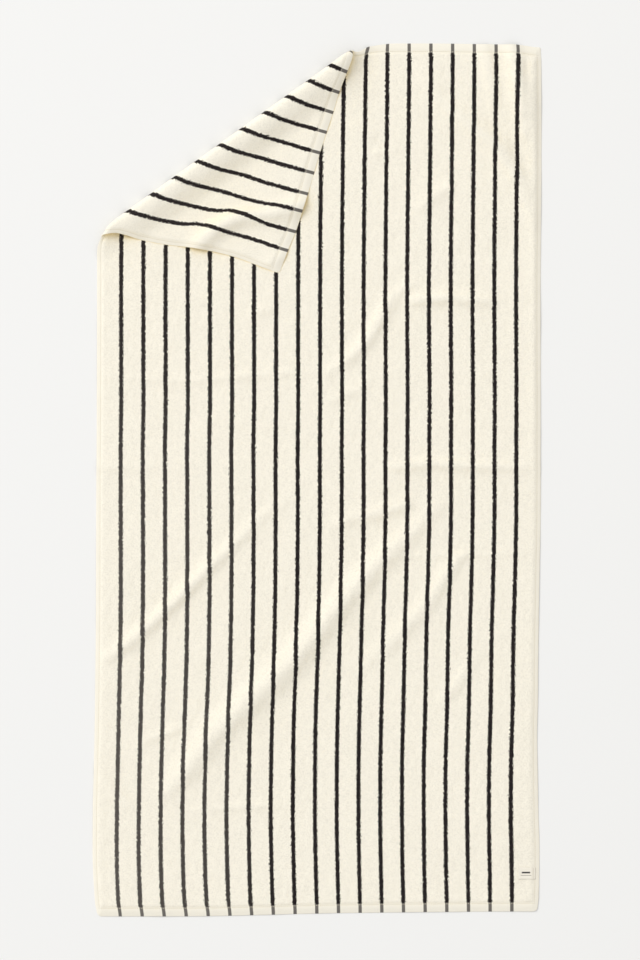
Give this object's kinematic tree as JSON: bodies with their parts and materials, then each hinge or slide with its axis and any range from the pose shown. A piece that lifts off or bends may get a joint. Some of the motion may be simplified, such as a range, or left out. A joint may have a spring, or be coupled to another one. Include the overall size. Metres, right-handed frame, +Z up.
{
  "type": "bath towel",
  "caption": "Striped cotton terry bath towel lying flat, with narrow stitched hems, a woven label and one far corner folded over reverse side up.",
  "frame": {"origin": "middle of the towel's outline, on the surface it lies on", "axes": "+Y along the stripes, from the end with the label to the end with the folded corner; +X across the stripes, towards the side with the label; +Z up out of the cloth's face"},
  "size_m": [0.7, 1.37, 0.024],
  "materials": {
    "terry": "matte",
    "hem": "matte",
    "thread": "matte",
    "label": "satin"
  },
  "bodies": {
    "towel": {"terry_panel": "terry", "near_end_hem": "hem", "far_end_hem": "hem", "left_side_hem": "hem", "right_side_hem": "hem", "fold_under_half": "terry", "near_end_stitching": "thread", "far_end_stitching": "thread", "left_side_stitching": "thread", "right_side_stitching": "thread", "label": "label", "label_stitching": "thread"},
    "corner": {"fold_over_half": "terry", "corner_terry": "terry", "corner_end_hem": "hem", "corner_side_hem": "hem", "corner_end_stitching": "thread", "corner_side_stitching": "thread"}
  },
  "joints": [
    {"name": "corner_fold", "type": "hinge", "parent": "towel", "child": "corner", "pos_m": [-0.14809, 0.53442, 0.012], "axis": [-0.8079, -0.5893, 0], "range_deg": [0, 180]}
  ]
}
